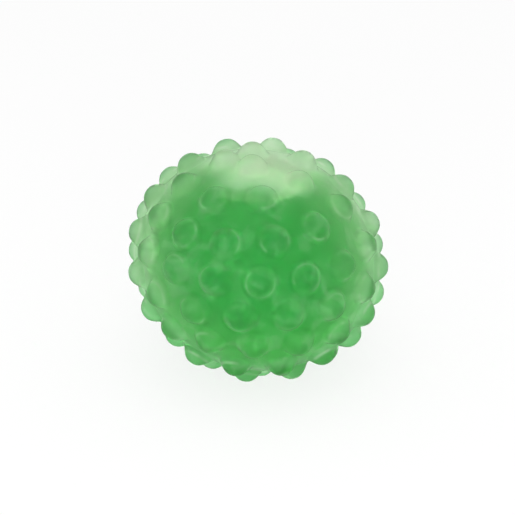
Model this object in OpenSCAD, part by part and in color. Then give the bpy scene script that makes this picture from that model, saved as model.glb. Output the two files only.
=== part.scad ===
// Nubbed sensory ball: a soft moulded skin full of gel, closed by a plug that is bonded in underneath.
// The soft body has sagged to an oval that leans to the right and stands on its lowest nubs.
// Millimetres, +Z up, front towards -Y. The origin is on the floor, in the middle of the ball's plan.

/* [Sagged body] */
// Radius of the rounded side
side_r = 27; // [22:0.5:34]
// Distance of the side's centre from the body's axis
side_x = 7; // [5:0.1:10]
// Height of the top above the side's round
crown_rise = 3.5; // [2:0.1:4.8]
// Depth of the bottom below the side's round
base_sink = 4; // [2:0.1:4.8]
// Thickness of the moulded skin
wall = 2.5; // [1.6:0.1:4]
// Lean of the sagged body to the right, in degrees
slump_angle = 16; // [0:1:24]

/* [Nubs] */
// Radius of a nub's rounded tip
nub_r = 4.4; // [3.2:0.1:5.2]
// Height of a nub above the skin
nub_h = 3.4; // [2.4:0.1:4.4]
// Lean of the nub rows to the left, in degrees
row_lean = 4; // [0:0.5:6]
// Depth to which the lowest nub is pressed flat by the floor
foot_press = 1.8; // [1.5:0.1:2.4]

/* [Gel and air] */
// Height of the air pocket above the gel
air_h = 3.4; // [1:0.1:10]
// Clearance between the gel and the skin
gel_gap = 0.1; // [0.05:0.05:0.5]

/* [Filling hole and plug] */
// Radius of the filling hole
hole_r = 2.5; // [1.5:0.1:3.5]
// Radius of the boss inside the skin, round the filling hole
boss_r = 6.5; // [5.5:0.1:9]
// Height of the boss above the skin's inner face
boss_h = 2; // [1:0.1:4]
// Radius of the plug's head
head_r = 4.5; // [4:0.1:5]
// Thickness of the plug's head
head_h = 1.2; // [0.8:0.1:1.5]
// Clearance round the plug for the bond
bond_gap = 0.05; // [0.02:0.01:0.15]

/* [Hidden] */
// Facets of a full circle, and of the large oval, whose face the plug's head follows closely
$fn = 64;
oval_facets = 192;
// Straight strips that stand in for the oval's outline, from the bottom to the top
strip_count = 24;

// Extra length of every cut
overrun = 1;

// Nub rows from the feet to the top: latitude in degrees, nubs in the row, and turn as a share of the pitch
row_lats = [-75, -58, -41, -20.5, 0, 20.5, 41, 61.5, 82];
row_counts = [5, 9, 13, 16, 16, 16, 13, 8, 3];
row_turn_shares = [0.75, 0.5, 0.3, 0.8, 0.64, 0.18, 0.58, 0.38, 0.25];

// The oval is three tangent arcs: crown and base are centred on its axis, the side out at side_x
crown_drop = centre_shift(crown_rise);
base_lift = centre_shift(base_sink);
crown_arc_r = side_r + crown_rise + crown_drop;
base_arc_r = side_r + base_sink + base_lift;
// Latitudes at which the side arc meets the crown and the base
crown_join = atan2(crown_drop, side_x);
base_join = -atan2(base_lift, side_x);

nub_directions = [
    for (row = [0 : len(row_lats) - 1], i = [0 : row_counts[row] - 1])
        row_direction(row_lats[row], (i + row_turn_shares[row]) * 360 / row_counts[row])
];
nub_centres = [for (direction = nub_directions) skin_point(direction, nub_h - nub_r)];
floor_z = min([for (p = nub_centres) p.z]) - nub_r + foot_press;
// Shift that stands the ball on the floor with the middle of its plan over the origin
stand = [-middle([for (p = nub_centres) p.x]), -middle([for (p = nub_centres) p.y]), -floor_z];
crown_centre = stand + leaned([0, 0, -crown_drop], slump_angle);
gel_level = crown_centre.z + crown_arc_r - wall - air_h;
reach = 2 * (side_r + side_x + crown_rise + base_sink + nub_h);

// How far an end arc's centre lies past the middle, for an end that stands so far out of the side's round
function centre_shift(rise) = (side_x * side_x - rise * rise) / (2 * rise);

function middle(values) = (min(values) + max(values)) / 2;

// Turns a point about the Y axis, the top towards +X
function leaned(p, angle) =
    [p.x * cos(angle) + p.z * sin(angle), p.y, p.z * cos(angle) - p.x * sin(angle)];

// Direction at a latitude and a turn from the front, about the leaning axis of the nub rows
function row_direction(lat, turn) =
    leaned([cos(lat) * sin(turn), -cos(lat) * cos(turn), sin(lat)], -row_lean);

// Point of the upright oval's outline where its normal has this latitude, moved out along the normal
function outline_point(lat, out) =
    lat > crown_join ? [0, -crown_drop] + (crown_arc_r + out) * [cos(lat), sin(lat)]
    : lat < base_join ? [0, base_lift] + (base_arc_r + out) * [cos(lat), sin(lat)]
    : [side_x, 0] + (side_r + out) * [cos(lat), sin(lat)];

// Point of the leaning skin that faces a direction, moved out along it
function skin_point(direction, out) =
    let (
        upright = leaned(direction, -slump_angle),
        p = outline_point(asin(upright.z), out),
        turn = atan2(upright.y, upright.x)
    )
    leaned([p.x * cos(turn), p.x * sin(turn), p.y], slump_angle);

// Right half of the upright oval, its outline drawn in by a margin
module half_oval(margin) {
    polygon([for (i = [0 : strip_count]) outline_point(180 * i / strip_count - 90, -margin)]);
}

module leaning_oval(margin) {
    translate(stand)
        rotate([0, slump_angle, 0])
            rotate_extrude($fn = oval_facets)
                half_oval(margin);
}

// Puts its children at the filling hole, in the middle of the foot nubs, with +Z out of the skin
module at_filling_hole() {
    translate(stand + skin_point(row_direction(-90, 0), 0))
        rotate([0, 180 - row_lean, 0])
            children();
}

// A cylinder from a depth below the skin's outer face up to a height above it
module peg(r, depth, height) {
    translate([0, 0, -depth])
        cylinder(r = r, h = depth + height);
}

// Each nub is a ball whose pole is the nub's tip
module nubs() {
    for (direction = nub_directions)
        translate(stand + skin_point(direction, nub_h - nub_r))
            rotate([0, acos(direction.z), atan2(direction.y, direction.x)])
                sphere(r = nub_r);
}

module cavity() {
    difference() {
        leaning_oval(wall);
        at_filling_hole()
            peg(boss_r, wall + boss_h, 0);
    }
}

// The filling hole and the seat of the plug's head
module filling_cuts() {
    at_filling_hole() {
        peg(hole_r, wall + boss_h + overrun, nub_h);
        peg(head_r + bond_gap, head_h, nub_h + overrun);
    }
}

module below_floor() {
    translate([-reach, -reach, -reach])
        cube([2 * reach, 2 * reach, reach]);
}

module above_gel() {
    translate([-reach, -reach, gel_level])
        cube([2 * reach, 2 * reach, reach]);
}

module nubbed_skin() {
    color([0.52, 0.78, 0.5])
        difference() {
            union() {
                leaning_oval(0);
                nubs();
            }
            cavity();
            filling_cuts();
            below_floor();
        }
}

module gel_fill() {
    color([0.22, 0.64, 0.3])
        difference() {
            leaning_oval(wall + gel_gap);
            at_filling_hole()
                peg(boss_r + gel_gap, wall + boss_h + gel_gap, 0);
            above_gel();
        }
}

module filler_plug() {
    color([0.42, 0.7, 0.4])
        intersection() {
            leaning_oval(0);
            at_filling_hole()
                union() {
                    peg(hole_r - bond_gap, wall + boss_h, 0);
                    peg(head_r, head_h, 0);
                }
        }
}

nubbed_skin();
gel_fill();
filler_plug();
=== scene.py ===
"""Dresses the nubbed sensory ball: a milky skin, the green gel in it and the plug underneath."""
import logging
import math
from dataclasses import dataclass, field
from enum import Enum

import bpy
from mathutils import Matrix, Vector
from mathutils.kdtree import KDTree


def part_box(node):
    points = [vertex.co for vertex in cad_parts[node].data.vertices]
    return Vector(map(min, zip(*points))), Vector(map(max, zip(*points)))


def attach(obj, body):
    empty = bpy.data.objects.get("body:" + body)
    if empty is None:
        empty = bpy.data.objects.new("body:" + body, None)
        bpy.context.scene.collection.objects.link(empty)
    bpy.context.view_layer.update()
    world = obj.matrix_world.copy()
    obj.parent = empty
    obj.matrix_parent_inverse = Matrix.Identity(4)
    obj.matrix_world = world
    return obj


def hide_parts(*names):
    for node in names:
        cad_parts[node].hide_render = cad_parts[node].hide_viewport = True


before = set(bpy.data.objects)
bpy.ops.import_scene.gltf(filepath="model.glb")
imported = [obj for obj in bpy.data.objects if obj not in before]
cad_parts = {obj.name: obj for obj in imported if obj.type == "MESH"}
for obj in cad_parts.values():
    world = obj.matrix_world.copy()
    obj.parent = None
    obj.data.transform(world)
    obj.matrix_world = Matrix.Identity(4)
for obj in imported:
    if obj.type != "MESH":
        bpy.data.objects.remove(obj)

log = logging.getLogger("sensory_ball")

ROOT_BODY = "root"
NUB_SHARE = "nub_share"

# How many of the nearest nubs a point's height is blended from
BLENDED_NUBS = 2

# Lengths in metres: points closer than these are merged, on a turned shape and after a cut
WELD = 0.000001
SLIVER = 0.00005

# Octaves of coarse and fine noise, and the range that noise mostly keeps to
COARSE = 2
FINE = 4
NOISE_RANGE = (0.3, 0.7)

# Places of the two colours and of the result among a Mix node's sockets, whose names repeat
MIX_A, MIX_B, MIX_RESULT = 6, 7, 2

UP = Vector((0, 0, 1))

Colour = tuple[float, float, float]
Range = tuple[float, float]
Socket = bpy.types.NodeSocket


class Slot(Enum):
    """The record's material slots."""

    SKIN = "skin"
    GEL = "gel"
    PLUG = "plug"


class Ray(Enum):
    """Light Path outputs of the rays to which the white surroundings show."""

    CAMERA = "Is Camera Ray"
    GLOSSY = "Is Glossy Ray"
    TRANSMISSION = "Is Transmission Ray"


@dataclass(frozen=True)
class SaggedOval:
    """The soft body's outline: three tangent arcs turned about an axis that leans to the right.

    A point of it is asked for by the direction that its normal takes. All points are measured from the
    middle of the side arc, so the ball's own middle is added to them.
    """

    side_r: float = 0.027
    side_x: float = 0.007
    crown_rise: float = 0.0035
    base_sink: float = 0.004
    slump: float = math.radians(16)
    wall: float = 0.0025

    def centre_shift(self, rise: float) -> float:
        """How far an end arc's centre lies past the middle."""
        return (self.side_x ** 2 - rise ** 2) / (2 * rise)

    @property
    def crown_drop(self) -> float:
        """Depth of the crown arc's centre below the middle."""
        return self.centre_shift(self.crown_rise)

    @property
    def base_lift(self) -> float:
        """Height of the base arc's centre above the middle."""
        return self.centre_shift(self.base_sink)

    @property
    def crown_arc_r(self) -> float:
        """Radius of the crown arc."""
        return self.side_r + self.crown_rise + self.crown_drop

    @property
    def base_arc_r(self) -> float:
        """Radius of the base arc."""
        return self.side_r + self.base_sink + self.base_lift

    @property
    def lean(self) -> Matrix:
        """Turn that leans the upright oval, its top towards +X."""
        return Matrix.Rotation(self.slump, 3, "Y")

    def outline(self, sine: float, out: float) -> tuple[float, float]:
        """Gives a point of the upright oval's outline.

        Args:
            sine: Sine of the latitude of the outline's normal there.
            out: How far the point is moved out along the normal.

        Returns:
            Its distance from the axis and its height.
        """
        latitude = math.asin(max(-1.0, min(1.0, sine)))
        cosine = math.cos(latitude)
        if latitude > math.atan2(self.crown_drop, self.side_x):
            arc_r = self.crown_arc_r + out
            return arc_r * cosine, arc_r * sine - self.crown_drop
        if latitude < -math.atan2(self.base_lift, self.side_x):
            arc_r = self.base_arc_r + out
            return arc_r * cosine, arc_r * sine + self.base_lift
        arc_r = self.side_r + out
        return self.side_x + arc_r * cosine, arc_r * sine

    def point(self, direction: Vector, out: float = 0.0) -> Vector:
        """Gives the point of the leaning skin that faces a direction.

        Args:
            direction: The unit normal asked for.
            out: How far the point is moved out along it.

        Returns:
            The point, from the middle of the side arc.
        """
        upright = self.lean.transposed() @ direction
        reach, height = self.outline(upright.z, out)
        turn = math.atan2(upright.y, upright.x)
        return self.lean @ Vector((reach * math.cos(turn), reach * math.sin(turn), height))


@dataclass(frozen=True)
class NubRow:
    """One row of nubs: its latitude in degrees, its count, and its turn as a share of its pitch."""

    latitude: float
    count: int
    turn_share: float


@dataclass(frozen=True)
class NubPattern:
    """The rows of nubs, about an axis that leans to the left, and the shape of one nub."""

    rows: tuple[NubRow, ...] = (
        NubRow(-75, 5, 0.75),
        NubRow(-58, 9, 0.5),
        NubRow(-41, 13, 0.3),
        NubRow(-20.5, 16, 0.8),
        NubRow(0, 16, 0.64),
        NubRow(20.5, 16, 0.18),
        NubRow(41, 13, 0.58),
        NubRow(61.5, 8, 0.38),
        NubRow(82, 3, 0.25),
    )
    row_lean: float = math.radians(4)
    height: float = 0.0034
    foot_r: float = 0.0048
    crown_power: float = 2.5
    flank_power: float = 1.4

    def direction(self, latitude: float, turn: float) -> Vector:
        """Gives a direction about the rows' axis.

        Args:
            latitude: Degrees above the rows' own level.
            turn: Degrees from the front, towards the right.

        Returns:
            The unit direction.
        """
        up, round_ = math.radians(latitude), math.radians(turn)
        level = math.cos(up)
        upright = Vector((level * math.sin(round_), -level * math.cos(round_), math.sin(up)))
        return Matrix.Rotation(-self.row_lean, 3, "Y") @ upright

    def directions(self) -> list[Vector]:
        """Gives every nub's direction.

        Returns:
            The unit directions, from the feet to the top.
        """
        return [
            self.direction(row.latitude, (i + row.turn_share) * 360 / row.count)
            for row in self.rows
            for i in range(row.count)
        ]

    def share_at(self, distance: float) -> float:
        """Gives the share of a nub's height at a distance from its axis.

        Args:
            distance: Distance from the nub's axis, along the skin.

        Returns:
            1 at the tip, falling to 0 at the nub's foot.
        """
        across = min(distance / self.foot_r, 1.0)
        return (1 - across ** self.crown_power) ** self.flank_power


@dataclass(frozen=True)
class FillingHole:
    """The stepped filling hole underneath, its boss inside the skin, and the plug's fit in it."""

    hole_r: float = 0.0025
    head_r: float = 0.0045
    head_h: float = 0.0012
    boss_r: float = 0.0065
    boss_h: float = 0.002
    boss_flank: float = 0.001
    bond_gap: float = 0.00005
    overrun: float = 0.001


class Bench:
    """Modelling steps that several pieces share, each done with Blender's own operators."""

    @staticmethod
    def clear_selection() -> None:
        """Leaves edit mode and deselects everything."""
        if bpy.context.object and bpy.context.object.mode != "OBJECT":
            bpy.ops.object.mode_set(mode="OBJECT")
        bpy.ops.object.select_all(action="DESELECT")

    @staticmethod
    def only(piece: bpy.types.Object) -> None:
        """Makes a piece the only one selected, and the active one.

        Args:
            piece: The piece to work on.
        """
        Bench.clear_selection()
        piece.select_set(True)
        bpy.context.view_layer.objects.active = piece

    @staticmethod
    def round_blank(name: str, cuts: int) -> bpy.types.Object:
        """Makes a ball of even quads, from a cube that is cut up and cast to a sphere.

        Args:
            name: The new object's name.
            cuts: Cuts across each side of the cube.

        Returns:
            A ball of radius 1 at the origin.
        """
        Bench.clear_selection()
        bpy.ops.mesh.primitive_cube_add(size=2)
        blank = bpy.context.object
        blank.name = name
        blank.data.name = name
        bpy.ops.object.mode_set(mode="EDIT")
        bpy.ops.mesh.select_all(action="SELECT")
        bpy.ops.mesh.subdivide(number_cuts=cuts)
        bpy.ops.object.mode_set(mode="OBJECT")
        cast = blank.modifiers.new("round", "CAST")
        cast.cast_type = "SPHERE"
        cast.factor = 1
        cast.use_radius_as_size = False
        cast.size = 1
        bpy.ops.object.modifier_apply(modifier=cast.name)
        return blank

    @staticmethod
    def turned(name: str, outline: list[tuple[float, float]], steps: int) -> bpy.types.Object:
        """Turns an outline about the Z axis, as on a lathe.

        Args:
            name: The new object's name.
            outline: Distances from the axis and heights, from one end of the axis to the other.
            steps: Steps of the full turn.

        Returns:
            The closed turned shape.
        """
        Bench.clear_selection()
        bpy.ops.mesh.primitive_plane_add(size=1)
        shape = bpy.context.object
        shape.name = name
        shape.data.name = name
        bpy.ops.object.mode_set(mode="EDIT")
        bpy.ops.mesh.select_all(action="SELECT")
        bpy.ops.mesh.merge(type="CENTER")
        first = Vector((outline[0][0], 0, outline[0][1]))
        bpy.ops.transform.translate(value=first)
        for (x0, z0), (x1, z1) in zip(outline, outline[1:]):
            bpy.ops.mesh.extrude_region_move(TRANSFORM_OT_translate={"value": (x1 - x0, 0, z1 - z0)})
        bpy.ops.mesh.select_all(action="SELECT")
        bpy.ops.mesh.spin(steps=steps, angle=math.tau, center=(0, 0, 0), axis=(0, 0, 1))
        bpy.ops.mesh.select_all(action="SELECT")
        bpy.ops.mesh.remove_doubles(threshold=WELD)
        bpy.ops.mesh.dissolve_degenerate(threshold=WELD)
        bpy.ops.mesh.select_all(action="SELECT")
        bpy.ops.mesh.normals_make_consistent(inside=False)
        bpy.ops.object.mode_set(mode="OBJECT")
        return shape

    @staticmethod
    def set_down(piece: bpy.types.Object, place: Matrix) -> None:
        """Moves a piece's mesh to its place and leaves its object at the origin.

        Args:
            piece: The piece, modelled at the origin.
            place: Where its mesh goes.
        """
        Bench.only(piece)
        piece.matrix_world = place
        bpy.ops.object.transform_apply(location=True, rotation=True, scale=True)

    @staticmethod
    def flip(piece: bpy.types.Object) -> None:
        """Turns a piece's faces to the other side.

        Args:
            piece: The piece to turn inside out.
        """
        Bench.only(piece)
        bpy.ops.object.mode_set(mode="EDIT")
        bpy.ops.mesh.select_all(action="SELECT")
        bpy.ops.mesh.flip_normals()
        bpy.ops.object.mode_set(mode="OBJECT")

    @staticmethod
    def cut_with(piece: bpy.types.Object, cutter: bpy.types.Object) -> None:
        """Cuts a piece with a closed shape and clears away the cut's slivers.

        Args:
            piece: The piece to cut.
            cutter: The closed shape, which is used up.
        """
        Bench.only(piece)
        cut = piece.modifiers.new("cut", "BOOLEAN")
        cut.operation = "DIFFERENCE"
        cut.solver = "EXACT"
        cut.object = cutter
        bpy.ops.object.modifier_apply(modifier=cut.name)
        bpy.data.objects.remove(cutter)
        bpy.ops.object.mode_set(mode="EDIT")
        bpy.ops.mesh.select_all(action="SELECT")
        bpy.ops.mesh.remove_doubles(threshold=SLIVER)
        bpy.ops.mesh.dissolve_degenerate(threshold=SLIVER)
        bpy.ops.object.mode_set(mode="OBJECT")

    @staticmethod
    def smooth(piece: bpy.types.Object, sharpest: float) -> None:
        """Shades a piece smooth, apart from edges that turn by more than an angle in degrees."""
        Bench.only(piece)
        bpy.ops.object.shade_smooth_by_angle(angle=math.radians(sharpest))


class Nodes:
    """A node tree under construction."""

    def __init__(self, tree: bpy.types.NodeTree) -> None:
        """Starts the tree with no nodes."""
        self.tree = tree
        self.tree.nodes.clear()

    def node(self, kind: str, **settings: object) -> bpy.types.Node:
        """Adds a node.

        Args:
            kind: The node's type.
            **settings: Attributes to set on it.

        Returns:
            The new node.
        """
        made = self.tree.nodes.new(kind)
        for key, value in settings.items():
            setattr(made, key, value)
        return made

    def link(self, source: Socket, target: Socket) -> None:
        """Joins two sockets."""
        self.tree.links.new(source, target)

    def span(self, value: Socket, source: Range, target: Range = (0, 1), smooth: bool = True) -> Socket:
        """Maps one range of values to another, held at its ends.

        Args:
            value: What is mapped.
            source: Its range.
            target: The range that it is mapped to.
            smooth: Whether the ends are eased.

        Returns:
            The mapped value.
        """
        made = self.node("ShaderNodeMapRange")
        made.interpolation_type = "SMOOTHSTEP" if smooth else "LINEAR"
        for name, number in zip(("From Min", "From Max", "To Min", "To Max"), (*source, *target)):
            made.inputs[name].default_value = number
        self.link(value, made.inputs["Value"])
        return made.outputs["Result"]

    def calculate(self, operation: str, a: Socket, b: Socket | float) -> Socket:
        """Adds a calculation with two values.

        Args:
            operation: The Math node's operation.
            a: The first value.
            b: The second value, a socket or a number.

        Returns:
            The result.
        """
        made = self.node("ShaderNodeMath", operation=operation)
        self.link(a, made.inputs[0])
        if isinstance(b, Socket):
            self.link(b, made.inputs[1])
        else:
            made.inputs[1].default_value = b
        return made.outputs[0]


class Finish(Nodes):
    """A material under construction."""

    def __init__(self, name: str) -> None:
        """Starts a material with only its output node.

        Args:
            name: The material's name.
        """
        self.material = bpy.data.materials.new(name)
        self.material.use_nodes = True
        super().__init__(self.material.node_tree)
        self.output = self.node("ShaderNodeOutputMaterial")

    def object_coordinates(self) -> Socket:
        """Gives Object coordinates."""
        return self.node("ShaderNodeTexCoord").outputs["Object"]

    def centred(self, at: Socket, centre: Vector) -> Socket:
        """Measures coordinates from a centre.

        Args:
            at: The coordinates.
            centre: Where they are to be zero.

        Returns:
            The shifted coordinates.
        """
        mapping = self.node("ShaderNodeMapping")
        mapping.inputs["Location"].default_value = -centre
        self.link(at, mapping.inputs["Vector"])
        return mapping.outputs["Vector"]

    def noise(self, at: Socket, grain: float, detail: float = 3, twist: float = 0) -> Socket:
        """Adds a noise pattern.

        Args:
            at: The coordinates that it reads.
            grain: Size of one grain, in metres.
            detail: Octaves of finer noise.
            twist: How far its grains are drawn out into swirls.

        Returns:
            The noise, from 0 to 1 and about 0.5.
        """
        made = self.node("ShaderNodeTexNoise")
        made.inputs["Scale"].default_value = 1 / grain
        made.inputs["Detail"].default_value = detail
        made.inputs["Distortion"].default_value = twist
        self.link(at, made.inputs["Vector"])
        return made.outputs["Fac"]

    def mix(self, share: Socket, a: Socket | Colour, b: Socket | Colour) -> Socket:
        """Mixes two colours.

        Args:
            share: The share of the second colour.
            a: The first colour, a socket or red, green and blue.
            b: The second colour, a socket or red, green and blue.

        Returns:
            The mixed colour.
        """
        made = self.node("ShaderNodeMix", data_type="RGBA")
        self.link(share, made.inputs["Factor"])
        for socket, colour in ((made.inputs[MIX_A], a), (made.inputs[MIX_B], b)):
            if isinstance(colour, Socket):
                self.link(colour, socket)
            else:
                socket.default_value = (*colour, 1)
        return made.outputs[MIX_RESULT]

    def along(self, at: Socket, axis: Vector) -> Socket:
        """Measures coordinates along an axis.

        Args:
            at: The coordinates.
            axis: The axis that they are measured along.

        Returns:
            The measure.
        """
        made = self.node("ShaderNodeVectorMath", operation="DOT_PRODUCT")
        self.link(at, made.inputs[0])
        made.inputs[1].default_value = axis
        return made.outputs["Value"]

    def bump(self, height: Socket, strength: float, depth: float) -> Socket:
        """Adds a bump.

        Args:
            height: The pattern that it reads.
            strength: Its strength.
            depth: Its depth in metres.

        Returns:
            The bent normal.
        """
        made = self.node("ShaderNodeBump")
        made.inputs["Strength"].default_value = strength
        made.inputs["Distance"].default_value = depth
        self.link(height, made.inputs["Height"])
        return made.outputs["Normal"]

    def attribute(self, name: str) -> Socket:
        """Reads a value that the piece's mesh carries at each point."""
        return self.node("ShaderNodeAttribute", attribute_name=name).outputs["Fac"]

    def principled(self, **values: object) -> bpy.types.Node:
        """Adds the surface shader.

        Args:
            **values: Its inputs by name, with _ for a space: a socket to link or a value to set.

        Returns:
            The shader, linked to the output.
        """
        shader = self.node("ShaderNodeBsdfPrincipled")
        for key, value in values.items():
            socket = shader.inputs[key.replace("_", " ")]
            if isinstance(value, Socket):
                self.link(value, socket)
            else:
                socket.default_value = value
        self.link(shader.outputs["BSDF"], self.output.inputs["Surface"])
        return shader


@dataclass(frozen=True)
class SkinFinish:
    """Milky elastomer: clear green where gel wets it inside, paler where it is dry over the air pocket.

    It is milkier too in faint swirls. A pale ring round each nub's flank is a painted sheen, and the tint
    that turns greener and darker towards the floor is painted shade.
    """

    wet: Colour = (0.47, 0.76, 0.44)
    cloud: Colour = (0.43, 0.73, 0.41)
    nub: Colour = (0.34, 0.63, 0.36)
    # Painted shade: the tint turns greener and darker towards the floor, fully so below the lower height
    low: Colour = (0.25, 0.71, 0.28)
    painted_shade_top: float = 0.036
    painted_shade_full: float = 0.014
    dry: Colour = (0.75, 0.88, 0.70)
    wet_clearness: float = 0.985
    dry_clearness: float = 0.85
    roughness: float = 0.8
    roughness_spread: float = 0.04
    ior: float = 1.15
    sheen: float = 0.12
    sheen_roughness: float = 0.5
    sheen_tint: Colour = (0.80, 0.95, 0.75)
    scatter: float = 1.0
    scatter_colour: Colour = (0.7, 1, 0.7)
    scatter_reach: float = 0.004
    coat: float = 0.08
    coat_roughness: float = 0.2
    pore_grain: float = 0.0009
    pore_strength: float = 0.12
    pore_depth: float = 0.0002
    cloud_grain: float = 0.009
    cloud_range: Range = (0.35, 0.7)
    swirl: float = 0.35
    swirl_grain: float = 0.008
    swirl_detail: float = 5
    swirl_twist: float = 1.2
    swirl_range: Range = (0.5, 0.65)
    dry_lean_right: float = math.radians(5)
    dry_trim: float = math.radians(3)
    edge_softness: float = 0.055
    edge_waves: float = 0.03
    edge_grain: float = 0.007
    # Painted sheen: a pale ring round each nub's flank, broken in places by noise
    sheen_ring_strength: float = 0.85
    sheen_ring_grain: float = 0.006
    sheen_ring_breaks: Range = (0.4, 0.65)
    sheen_ring_foot: float = 0.18
    sheen_ring_crest: float = 0.36
    sheen_ring_end: float = 0.52

    def make(self, crown_centre: Vector, dry_angle: float) -> bpy.types.Material:
        """Makes the material.

        Args:
            crown_centre: Centre of the crown's arc, from which the dry cap is measured.
            dry_angle: Angle at the crown's centre that the air pocket covers.

        Returns:
            The skin's material.
        """
        finish = Finish("milky_skin")
        at = finish.object_coordinates()
        dry = self.dry_share(finish, at, crown_centre, dry_angle)
        swirls = finish.noise(at, self.swirl_grain, self.swirl_detail, self.swirl_twist)
        # Milky share: the dry cap, the swirls and the painted sheen ring on the nubs' flanks
        milky_and_sheen = finish.calculate("MAXIMUM", dry, self.painted_sheen_ring(finish, at))
        milky_and_sheen = finish.calculate("MAXIMUM", milky_and_sheen, finish.span(swirls, self.swirl_range, (0, self.swirl)))
        clouds = finish.span(finish.noise(at, self.cloud_grain), self.cloud_range)
        thick = finish.span(finish.attribute(NUB_SHARE), (self.sheen_ring_crest, 1))
        wet = finish.mix(thick, finish.mix(clouds, self.wet, self.cloud), self.nub)
        # Painted shade: greener and darker towards the floor
        low = finish.span(finish.along(at, UP), (self.painted_shade_full, self.painted_shade_top), (1, 0))
        pores = finish.noise(at, self.pore_grain, FINE)
        least, most = self.roughness - self.roughness_spread, self.roughness + self.roughness_spread
        finish.principled(
            Base_Color=finish.mix(milky_and_sheen, finish.mix(low, wet, self.low), self.dry),
            Roughness=finish.span(pores, NOISE_RANGE, (least, most)),
            IOR=self.ior,
            Transmission_Weight=finish.span(
                milky_and_sheen, (0, 1), (self.wet_clearness, self.dry_clearness), smooth=False
            ),
            Subsurface_Weight=self.scatter,
            Subsurface_Radius=self.scatter_colour,
            Subsurface_Scale=self.scatter_reach,
            Sheen_Weight=self.sheen,
            Sheen_Roughness=self.sheen_roughness,
            Sheen_Tint=(*self.sheen_tint, 1),
            Coat_Weight=self.coat,
            Coat_Roughness=self.coat_roughness,
            Normal=finish.bump(pores, self.pore_strength, self.pore_depth),
        )
        return finish.material

    def dry_share(self, finish: Finish, at: Socket, crown_centre: Vector, dry_angle: float) -> Socket:
        """Gives how dry the skin is inside: 1 over the air pocket, 0 where the gel wets it.

        Args:
            finish: The material under construction.
            at: Object coordinates.
            crown_centre: Centre of the crown's arc.
            dry_angle: Angle at the crown's centre that the air pocket covers.

        Returns:
            The dry share, with a soft and wavy edge.
        """
        unit = finish.node("ShaderNodeVectorMath", operation="NORMALIZE")
        finish.link(finish.centred(at, crown_centre), unit.inputs[0])
        waves = finish.noise(at, self.edge_grain, COARSE)
        waves = finish.span(waves, NOISE_RANGE, (-self.edge_waves, self.edge_waves))
        axis = Vector((math.sin(self.dry_lean_right), 0, math.cos(self.dry_lean_right)))
        rise = finish.calculate("ADD", finish.along(unit.outputs[0], axis), waves)
        edge = math.cos(dry_angle - self.dry_trim)
        return finish.span(rise, (edge - self.edge_softness, edge + self.edge_softness))

    def painted_sheen_ring(self, finish: Finish, at: Socket) -> Socket:
        """Gives the pale ring painted on the flank of each nub as a sheen.

        Args:
            finish: The material under construction.
            at: Object coordinates.

        Returns:
            The painted sheen ring's share, broken in places.
        """
        height = finish.attribute(NUB_SHARE)
        rising = finish.span(height, (self.sheen_ring_foot, self.sheen_ring_crest), (0, self.sheen_ring_strength))
        falling = finish.span(height, (self.sheen_ring_crest, self.sheen_ring_end), (1, 0))
        breaks = finish.span(finish.noise(at, self.sheen_ring_grain, COARSE), self.sheen_ring_breaks)
        return finish.calculate("MULTIPLY", finish.calculate("MULTIPLY", rising, falling), breaks)


@dataclass(frozen=True)
class GelFinish:
    """Saturated green gel, a little cloudy, in which light travels before it comes back.

    A pale band is painted on its level surface for the bright light in the air pocket above it, and a pale
    veil shows where it is seen at a slant.
    """

    deep: Colour = (0.003, 0.372, 0.125)
    cloudy: Colour = (0.045, 0.420, 0.175)
    cloud_grain: float = 0.009
    cloud_range: Range = (0.35, 0.7)
    roughness: float = 0.3
    gloss: float = 0.15
    scatter: float = 0.8
    scatter_colour: Colour = (0.4, 1, 0.5)
    scatter_reach: float = 0.006
    # Painted light: a pale band on the gel's level surface stands for the bright reflections in the air
    # pocket
    painted_pocket_light: Colour = (0.60, 0.73, 0.55)
    pocket_light_depth: float = 0.0006
    pocket_light_grain: float = 0.005
    pocket_light_lean_right: float = math.radians(2)
    pocket_light_lean_back: float = math.radians(4)
    veil: float = 1.0
    veil_roughness: float = 0.5
    veil_tint: Colour = (0.95, 1, 0.9)

    def make(self, level: float) -> bpy.types.Material:
        """Makes the material.

        Args:
            level: Height of the gel's surface, which carries the painted light of the air pocket.

        Returns:
            The gel's material.
        """
        finish = Finish("green_gel")
        at = finish.object_coordinates()
        clouds = finish.span(finish.noise(at, self.cloud_grain), self.cloud_range)
        # Painted light of the air pocket, on a wavy band just under the gel's level
        lean = Vector((math.tan(self.pocket_light_lean_right), math.tan(self.pocket_light_lean_back), 1))
        waves = finish.span(finish.noise(at, self.pocket_light_grain, COARSE), NOISE_RANGE, (0, self.pocket_light_depth))
        risen = finish.calculate("ADD", finish.along(at, lean), waves)
        painted_pocket_light = finish.span(risen, (level - self.pocket_light_depth, level + self.pocket_light_depth / 2))
        finish.principled(
            Base_Color=finish.mix(painted_pocket_light, finish.mix(clouds, self.deep, self.cloudy), self.painted_pocket_light),
            Roughness=self.roughness,
            Specular_IOR_Level=self.gloss,
            Subsurface_Weight=self.scatter,
            Subsurface_Radius=self.scatter_colour,
            Subsurface_Scale=self.scatter_reach,
            Sheen_Weight=self.veil,
            Sheen_Roughness=self.veil_roughness,
            Sheen_Tint=(*self.veil_tint, 1),
        )
        return finish.material


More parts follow.
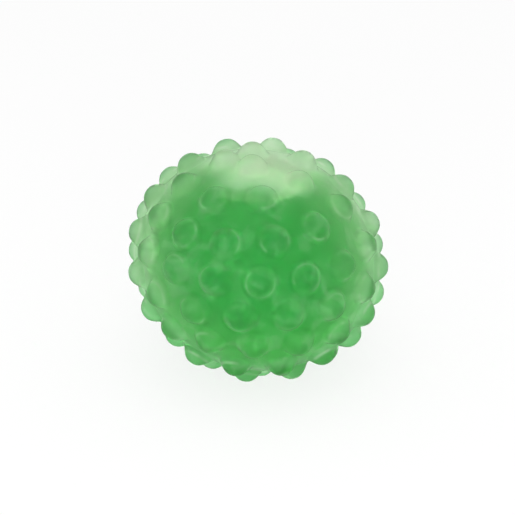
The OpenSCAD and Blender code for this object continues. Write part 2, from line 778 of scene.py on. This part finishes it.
@dataclass(frozen=True)
class PlugFinish:
    """Denser elastomer of the plug, rubbed paler in small patches."""

    body: Colour = (0.04, 0.30, 0.08)
    rubbed: Colour = (0.08, 0.36, 0.12)
    rubbed_range: Range = (0.4, 0.75)
    pore_grain: float = 0.0015
    pore_strength: float = 0.15
    pore_depth: float = 0.0001
    roughness: float = 0.42
    gloss: float = 0.25
    scatter: float = 0.4
    scatter_colour: Colour = (0.4, 1, 0.5)
    scatter_reach: float = 0.001

    def make(self) -> bpy.types.Material:
        """Makes the material.

        Returns:
            The plug's material.
        """
        finish = Finish("plug_elastomer")
        pores = finish.noise(finish.object_coordinates(), self.pore_grain, FINE)
        finish.principled(
            Base_Color=finish.mix(finish.span(pores, self.rubbed_range), self.body, self.rubbed),
            Roughness=self.roughness,
            Specular_IOR_Level=self.gloss,
            Subsurface_Weight=self.scatter,
            Subsurface_Radius=self.scatter_colour,
            Subsurface_Scale=self.scatter_reach,
            Normal=finish.bump(pores, self.pore_strength, self.pore_depth),
        )
        return finish.material


@dataclass
class Ball:
    """The whole ball: its soft body, its nubs and its filling hole, set where the frame has them."""

    oval: SaggedOval = field(default_factory=SaggedOval)
    nubs: NubPattern = field(default_factory=NubPattern)
    filling: FillingHole = field(default_factory=FillingHole)
    gel_gap: float = 0.0001
    middle: Vector = field(init=False)
    gel_level: float = field(init=False)
    nub_seats: KDTree = field(init=False)
    plug_direction: Vector = field(init=False)
    plug_seat: Vector = field(init=False)

    def __post_init__(self) -> None:
        """Finds the body's middle from the frame, by its highest nub, and seats the nubs on the skin."""
        directions = self.nubs.directions()
        highest = max(self.oval.point(direction, self.nubs.height).z for direction in directions)
        _, skin_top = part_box("nubbed_skin")
        _, gel_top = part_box("gel_fill")
        self.middle = Vector((0, 0, skin_top.z - highest))
        self.gel_level = gel_top.z
        self.nub_seats = KDTree(len(directions))
        for i, direction in enumerate(directions):
            self.nub_seats.insert(self.oval.point(direction), i)
        self.nub_seats.balance()
        # The filling hole is at the lower pole of the nub rows
        self.plug_direction = self.nubs.direction(-90, 0)
        self.plug_seat = self.oval.point(self.plug_direction)

    @property
    def crown_centre(self) -> Vector:
        """Centre of the crown's arc, where the ball stands."""
        return self.middle - self.oval.lean @ (self.oval.crown_drop * UP)

    @property
    def dry_angle(self) -> float:
        """Angle at the crown's centre that the air pocket covers on the skin's inside."""
        return math.acos((self.gel_level - self.crown_centre.z) / (self.oval.crown_arc_r - self.oval.wall))

    @property
    def filling_place(self) -> Matrix:
        """Place of the filling hole: its origin on the skin's outer face, +Z out of the skin."""
        turn = UP.rotation_difference(self.plug_direction)
        return Matrix.Translation(self.middle + self.plug_seat) @ turn.to_matrix().to_4x4()

    def nub_share(self, direction: Vector) -> float:
        """Gives how high the nubs stand at a direction, as a share of their height.

        Args:
            direction: The skin's unit normal there.

        Returns:
            1 at a nub's tip and 0 on bare skin, with neighbours blended.
        """
        bare = self.oval.point(direction)
        low = 1.0
        for _, _, distance in self.nub_seats.find_n(bare, BLENDED_NUBS):
            low *= 1 - self.nubs.share_at(distance)
        return 1 - low

    def boss_share(self, direction: Vector) -> float:
        """Gives how high the filling hole's boss stands at a direction, as a share of its height.

        Args:
            direction: The skin's unit normal there.

        Returns:
            1 on the boss, falling to 0 across its flank.
        """
        distance = (self.oval.point(direction) - self.plug_seat).length
        fall = (distance - self.filling.boss_r) / self.filling.boss_flank
        return 1 - max(0.0, min(1.0, fall))


@dataclass
class NubbedSkin:
    """The moulded skin: nubs outside, smooth inside, with its stepped filling hole."""

    ball: Ball
    outer_cuts: int = 107
    inner_cuts: int = 39
    hole_steps: int = 48
    sharpest: float = 50
    finish: SkinFinish = field(default_factory=SkinFinish)

    def outside(self) -> bpy.types.Object:
        """Shapes the outer face: the oval with its nubs, pressed flat where it meets the floor.

        Returns:
            The face, which carries the nubs' height at each point.
        """
        blank = Bench.round_blank("nubbed_skin_moulded", self.outer_cuts)
        shares = []
        for vertex in blank.data.vertices:
            direction = vertex.co.normalized()
            share = self.ball.nub_share(direction)
            place = self.ball.middle + self.ball.oval.point(direction, share * self.ball.nubs.height)
            vertex.co = (place.x, place.y, max(place.z, 0))
            shares.append(share)
        blank.data.attributes.new(NUB_SHARE, "FLOAT", "POINT").data.foreach_set("value", shares)
        return blank

    def inside(self) -> bpy.types.Object:
        """Shapes the inner face: the oval drawn in by the wall, with the boss round the filling hole.

        Returns:
            The face, turned towards the hollow.
        """
        blank = Bench.round_blank("skin_inside", self.inner_cuts)
        for vertex in blank.data.vertices:
            direction = vertex.co.normalized()
            depth = self.ball.oval.wall + self.ball.filling.boss_h * self.ball.boss_share(direction)
            vertex.co = self.ball.middle + self.ball.oval.point(direction, -depth)
        Bench.flip(blank)
        return blank

    def filling_cutter(self) -> bpy.types.Object:
        """Turns the shape that cuts the filling hole and the seat of the plug's head.

        Returns:
            The closed shape, in its place.
        """
        hole = self.ball.filling
        seat_r = hole.head_r + hole.bond_gap
        bottom = -(self.ball.oval.wall + hole.boss_h + hole.overrun)
        top = self.ball.nubs.height
        outline = [(0, bottom), (hole.hole_r, bottom), (hole.hole_r, -hole.head_h), (seat_r, -hole.head_h),
                   (seat_r, top), (0, top)]
        cutter = Bench.turned("filling_cutter", outline, self.hole_steps)
        Bench.set_down(cutter, self.ball.filling_place)
        return cutter

    def build(self) -> bpy.types.Object:
        """Builds and dresses the skin.

        Returns:
            The finished piece, riding on the body.
        """
        skin = self.outside()
        inner = self.inside()
        Bench.only(skin)
        inner.select_set(True)
        bpy.ops.object.join()
        Bench.cut_with(skin, self.filling_cutter())
        Bench.smooth(skin, self.sharpest)
        self.dress(skin)
        return skin

    def dress(self, skin: bpy.types.Object) -> None:
        """Gives the skin its finish and sets it in the frame.

        Args:
            skin: The finished mesh.
        """
        skin.data.materials.append(self.finish.make(self.ball.crown_centre, self.ball.dry_angle))
        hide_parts("nubbed_skin")
        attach(skin, ROOT_BODY)


@dataclass
class GelFill:
    """The gel: it fills the skin up to its level and creeps up a little at the edge."""

    ball: Ball
    cuts: int = 47
    creep: float = 0.0005
    creep_width: float = 0.001
    creep_shares: tuple[float, ...] = (0.3, 0.5, 0.2)
    sharpest: float = 60
    finish: GelFinish = field(default_factory=GelFinish)

    def build(self) -> bpy.types.Object:
        """Builds and dresses the gel.

        Returns:
            The finished piece, riding on the body.
        """
        gel = Bench.round_blank("gel_body", self.cuts)
        for vertex in gel.data.vertices:
            direction = vertex.co.normalized()
            depth = self.ball.oval.wall + self.ball.gel_gap
            depth += self.ball.filling.boss_h * self.ball.boss_share(direction)
            vertex.co = self.ball.middle + self.ball.oval.point(direction, -depth)
        self.level_off(gel)
        Bench.smooth(gel, self.sharpest)
        self.dress(gel)
        return gel

    def level_off(self, gel: bpy.types.Object) -> None:
        """Cuts the gel off at its level and sinks the middle of the surface below its edge.

        Args:
            gel: The gel, which still fills the skin to the top.
        """
        Bench.only(gel)
        bpy.ops.object.mode_set(mode="EDIT")
        bpy.ops.mesh.select_all(action="SELECT")
        bpy.ops.mesh.bisect(
            plane_co=(0, 0, self.ball.gel_level), plane_no=(0, 0, 1), use_fill=True, clear_outer=True
        )
        for share in self.creep_shares:
            bpy.ops.mesh.inset(thickness=self.creep_width, depth=-self.creep * share)
        bpy.ops.object.mode_set(mode="OBJECT")

    def dress(self, gel: bpy.types.Object) -> None:
        """Gives the gel its finish and sets it in the frame.

        Args:
            gel: The finished mesh.
        """
        gel.data.materials.append(self.finish.make(self.ball.gel_level))
        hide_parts("gel_fill")
        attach(gel, ROOT_BODY)


@dataclass
class FillerPlug:
    """The stepped plug that closes the filling hole, its head flush with the skin."""

    ball: Ball
    edge_r: float = 0.00025
    steps: int = 64
    sharpest: float = 35
    finish: PlugFinish = field(default_factory=PlugFinish)

    def build(self) -> bpy.types.Object:
        """Builds and dresses the plug.

        Returns:
            The finished piece, riding on the body.
        """
        hole = self.ball.filling
        stem_r = hole.hole_r - hole.bond_gap
        bottom = -(self.ball.oval.wall + hole.boss_h)
        arc_r = self.ball.oval.base_arc_r
        rim = math.sqrt(arc_r ** 2 - hole.head_r ** 2) - arc_r
        middle_r = hole.head_r / 2
        crown = math.sqrt(arc_r ** 2 - middle_r ** 2) - arc_r
        outline = [
            (0, bottom), (stem_r - self.edge_r, bottom), (stem_r, bottom + self.edge_r),
            (stem_r, -hole.head_h), (hole.head_r, -hole.head_h),
            (hole.head_r, rim - self.edge_r), (hole.head_r - self.edge_r, rim),
            (middle_r, crown), (0, 0),
        ]
        plug = Bench.turned("filler_plug_turned", outline, self.steps)
        Bench.set_down(plug, self.ball.filling_place)
        Bench.smooth(plug, self.sharpest)
        self.dress(plug)
        return plug

    def dress(self, plug: bpy.types.Object) -> None:
        """Gives the plug its finish and sets it in the frame.

        Args:
            plug: The finished mesh.
        """
        plug.data.materials.append(self.finish.make())
        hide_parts("filler_plug")
        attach(plug, ROOT_BODY)


@dataclass(frozen=True)
class Lamp:
    """A soft lamp: its height over the floor as an angle at the ball, its distance and its power."""

    rise: float
    distance: float
    power: float


@dataclass
class Studio:
    """The plain white studio: camera, floor, world and two soft lamps."""

    ball: Ball
    elevation: float = math.radians(28)
    distance: float = 0.5
    lens: float = 123.4
    clip_start: float = 0.01
    aim_up: float = 0.0002
    floor_size: float = 4.0
    floor_colour: Colour = (0.93, 0.93, 0.93)
    floor_roughness: float = 0.9
    floor_gloss: float = 0.1
    floor_whiteness: float = 0.8
    floor_whiteness_past_ball: float = 0.5
    world_light: float = 0.8
    lamp_size: float = 0.6
    overhead: Lamp = Lamp(rise=math.radians(80), distance=0.6, power=0.7)
    front: Lamp = Lamp(rise=math.radians(10), distance=0.7, power=4.1)

    def build(self) -> None:
        """Sets up the whole studio."""
        self.set_camera()
        self.lay_floor()
        self.light_world()
        for lamp in (self.overhead, self.front):
            self.hang(lamp)
        bpy.context.scene.view_settings.view_transform = "Standard"

    def set_camera(self) -> None:
        """Sets the camera at the photograph's viewing angle."""
        back = Vector((0, -math.cos(self.elevation), math.sin(self.elevation)))
        up = Vector((0, math.sin(self.elevation), math.cos(self.elevation)))
        target = self.ball.middle + self.aim_up * up
        Bench.clear_selection()
        bpy.ops.object.camera_add(location=target + self.distance * back)
        camera = bpy.context.object
        camera.rotation_euler = (-back).to_track_quat("-Z", "Y").to_euler()
        camera.data.lens = self.lens
        camera.data.clip_start = self.clip_start
        bpy.context.scene.camera = camera

    def lay_floor(self) -> None:
        """Lays a pale floor that takes the ball's shadow."""
        Bench.clear_selection()
        bpy.ops.mesh.primitive_plane_add(size=self.floor_size)
        floor = bpy.context.object
        floor.name = "floor"
        finish = Finish("studio_floor")
        paint = finish.principled(
            Base_Color=(*self.floor_colour, 1),
            Roughness=self.floor_roughness,
            Specular_IOR_Level=self.floor_gloss,
        )
        white = finish.node("ShaderNodeEmission")
        mix = finish.node("ShaderNodeMixShader")
        shown = self.shown_white(finish, self.floor_whiteness, self.floor_whiteness_past_ball)
        finish.link(shown, mix.inputs[0])
        finish.link(paint.outputs["BSDF"], mix.inputs[1])
        finish.link(white.outputs[0], mix.inputs[2])
        finish.link(mix.outputs[0], finish.output.inputs["Surface"])
        floor.data.materials.append(finish.material)

    @staticmethod
    def shown_white(nodes: Nodes, straight: float, past_ball: float) -> Socket:
        """Gives how far the surroundings show white to a ray.

        Args:
            nodes: The node tree that the test goes into.
            straight: The share for rays straight from the camera.
            past_ball: The share for rays that the ball mirrors or lets through.

        Returns:
            The share, which is 0 for rays that only carry light to the ball.
        """
        rays = nodes.node("ShaderNodeLightPath").outputs
        bent = nodes.calculate("MAXIMUM", rays[Ray.GLOSSY.value], rays[Ray.TRANSMISSION.value])
        return nodes.calculate(
            "MAXIMUM",
            nodes.calculate("MULTIPLY", rays[Ray.CAMERA.value], straight),
            nodes.calculate("MULTIPLY", bent, past_ball),
        )

    def light_world(self) -> None:
        """Lights the ball evenly from all round, and shows white behind it."""
        world = bpy.data.worlds.new("studio")
        world.use_nodes = True
        bpy.context.scene.world = world
        nodes = Nodes(world.node_tree)
        shown = self.shown_white(nodes, straight=1, past_ball=1)
        strength = nodes.span(shown, (0, 1), (self.world_light, 1), smooth=False)
        white = nodes.node("ShaderNodeBackground")
        white.inputs["Color"].default_value = (1, 1, 1, 1)
        nodes.link(strength, white.inputs["Strength"])
        output = nodes.node("ShaderNodeOutputWorld")
        nodes.link(white.outputs["Background"], output.inputs["Surface"])

    def hang(self, lamp: Lamp) -> None:
        """Hangs a large soft lamp on the camera's side, turned to the ball.

        Args:
            lamp: Its place and its power.
        """
        out = Vector((0, -math.cos(lamp.rise), math.sin(lamp.rise)))
        Bench.clear_selection()
        bpy.ops.object.light_add(type="AREA", location=self.ball.middle + lamp.distance * out)
        hung = bpy.context.object
        hung.rotation_euler = (-out).to_track_quat("-Z", "Y").to_euler()
        hung.data.shape = "DISK"
        hung.data.size = self.lamp_size
        hung.data.energy = lamp.power


def main() -> None:
    """Builds the pieces and the studio, and reports each piece."""
    logging.basicConfig(level=logging.INFO, format="%(name)s: %(message)s")
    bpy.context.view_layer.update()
    ball = Ball()
    Studio(ball).build()
    for maker in (NubbedSkin(ball), GelFill(ball), FillerPlug(ball)):
        piece = maker.build()
        log.info("%s: %d faces", piece.name, len(piece.data.polygons))


if __name__ == "__main__":
    main()
